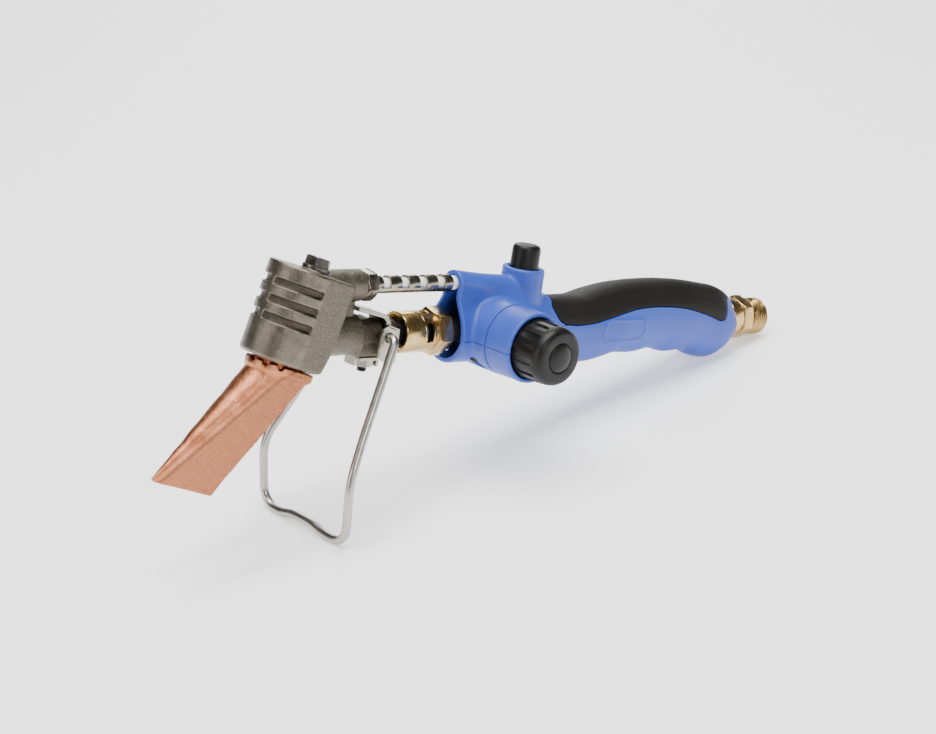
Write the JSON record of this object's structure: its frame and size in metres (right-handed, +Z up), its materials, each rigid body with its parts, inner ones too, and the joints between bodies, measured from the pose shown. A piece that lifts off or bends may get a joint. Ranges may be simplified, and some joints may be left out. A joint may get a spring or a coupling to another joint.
{
  "type": "gas soldering torch",
  "caption": "Hand torch with a copper soldering bit in a cast head, air sleeve, moulded grip, valve knob, push igniter, threaded gas inlet and fold-down wire stand.",
  "frame": {"origin": "middle of the torch's footprint, on the surface it stands on", "axes": "+X runs back towards the gas inlet, -X towards the copper bit, -Y out through the valve knob, +Z up; the torch stands on its wire stand and the butt of its grip"},
  "size_m": [0.3286, 0.0758, 0.1102],
  "materials": {
    "copper": "sawn and ground copper",
    "nickel": "satin nickel-plated casting",
    "steel": "bright steel",
    "zinc_steel": "zinc-plated pressed steel",
    "wire_steel": "bright drawn wire",
    "blackened_steel": "blackened",
    "brass": "turned and polished",
    "ceramic": "white glazed ceramic",
    "blue_plastic": "satin moulded",
    "black_plastic": "satin moulded",
    "grip_rubber": "soft-touch satin",
    "rubber": "matte"
  },
  "bodies": {
    "torch": {"head_casting": "nickel", "copper_bit": "copper", "bit_bolt": "steel", "bit_bolt_washer": "steel", "electrode_gland_nut": "nickel", "electrode_sleeve": "nickel", "ceramic_insulator": "ceramic", "electrode_rod": "steel", "mixing_tube": "blackened_steel", "neck_ring_nut": "nickel", "air_sleeve": "brass", "jet_holder": "brass", "gas_jet": "brass", "valve_body": "brass", "gland_nut": "brass", "gas_pipe": "brass", "inlet_fitting": "brass", "inlet_collar": "brass", "handle_shell_upper": "blue_plastic", "handle_shell_lower": "blue_plastic", "grip_inlay": "grip_rubber", "housing_screw_1": "steel", "housing_screw_2": "steel", "housing_screw_3": "steel", "housing_screw_4": "steel", "piezo_igniter": "black_plastic", "piezo_spring": "steel", "piezo_lead": "rubber", "stand_bracket": "zinc_steel", "bracket_stud": "blackened_steel", "bracket_nut": "zinc_steel"},
    "stand": {"stand_wire": "wire_steel"},
    "knob": {"knob": "black_plastic", "knob_cap": "black_plastic", "knob_screw": "steel", "valve_spindle": "steel", "spindle_oring": "rubber"},
    "needle": {"valve_needle": "steel"},
    "button": {"piezo_button": "black_plastic"}
  },
  "joints": [
    {"name": "stand_fold", "type": "hinge", "parent": "torch", "child": "stand", "pos_m": [-0.06026, 0.00924, 0.07043], "axis": [0, 1, 0], "range_deg": [-80, 0]},
    {"name": "knob_turn", "type": "hinge", "parent": "torch", "child": "knob", "pos_m": [-0.00364, 0.00924, 0.0534], "axis": [0, -1, 0], "range_deg": [0, 360]},
    {"name": "needle_travel", "type": "slide", "parent": "torch", "child": "needle", "axis": [0, -1, 0], "range_m": [0, 0.0009]},
    {"name": "piezo_press", "type": "slide", "parent": "torch", "child": "button", "axis": [-0.2652, 0, -0.9642], "range_m": [0, 0.0045], "stiffness_N_per_m": 600, "springref_m": -0.01, "deforming": ["piezo_spring"]}
  ],
  "couplings": [
    {"joint": "needle_travel", "follows": "knob_turn", "m_per_rad": 0.00012732}
  ]
}
